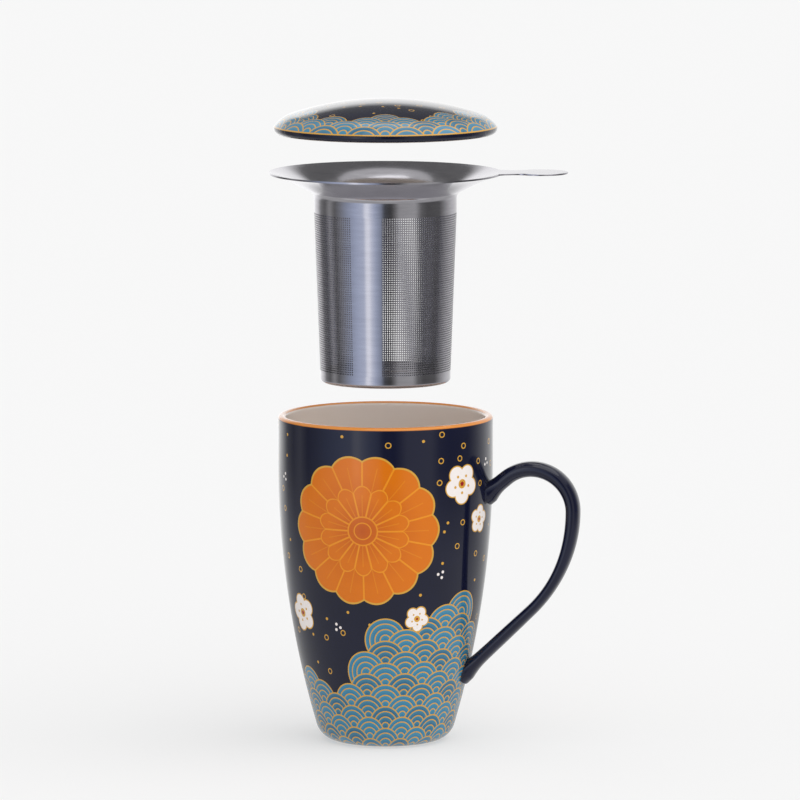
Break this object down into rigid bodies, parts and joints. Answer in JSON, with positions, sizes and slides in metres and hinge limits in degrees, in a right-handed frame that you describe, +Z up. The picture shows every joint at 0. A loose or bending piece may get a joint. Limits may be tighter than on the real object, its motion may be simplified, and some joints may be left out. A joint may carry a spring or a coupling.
{
  "type": "infuser mug",
  "caption": "Tall tapered glazed tea mug with an ear handle, a lift-out perforated steel infuser basket with a thumb tab, and a low domed lid, shown lifted apart.",
  "frame": {"origin": "middle of the mug's flat foot, on the table", "axes": "+Z up along the mug's axis, +X out along the handle, the decorated front faces -Y"},
  "size_m": [0.1305, 0.0958, 0.2662],
  "materials": {
    "mug_glaze": "glossy dark blue glaze with painted ornament, cream glaze inside, orange rim line",
    "handle_glaze": "glossy dark blue glaze",
    "collar_steel": "polished stainless steel",
    "wall_steel": "polished stainless steel, perforated",
    "base_steel": "polished stainless steel, perforated",
    "lid_glaze": "glossy dark blue glaze with a painted border"
  },
  "bodies": {
    "mug": {"mug_body": "mug_glaze", "mug_handle": "handle_glaze"},
    "infuser": {"infuser_collar": "collar_steel", "infuser_wall": "wall_steel", "infuser_base": "base_steel"},
    "lid": {"lid": "lid_glaze"}
  },
  "joints": [
    {"name": "infuser_lift", "type": "slide", "parent": "mug", "child": "infuser", "axis": [0, 0, 1], "range_m": [-0.0977, 0]},
    {"name": "lid_lift", "type": "slide", "parent": "infuser", "child": "lid", "axis": [0, 0, 1], "range_m": [-0.0167, 0]}
  ]
}
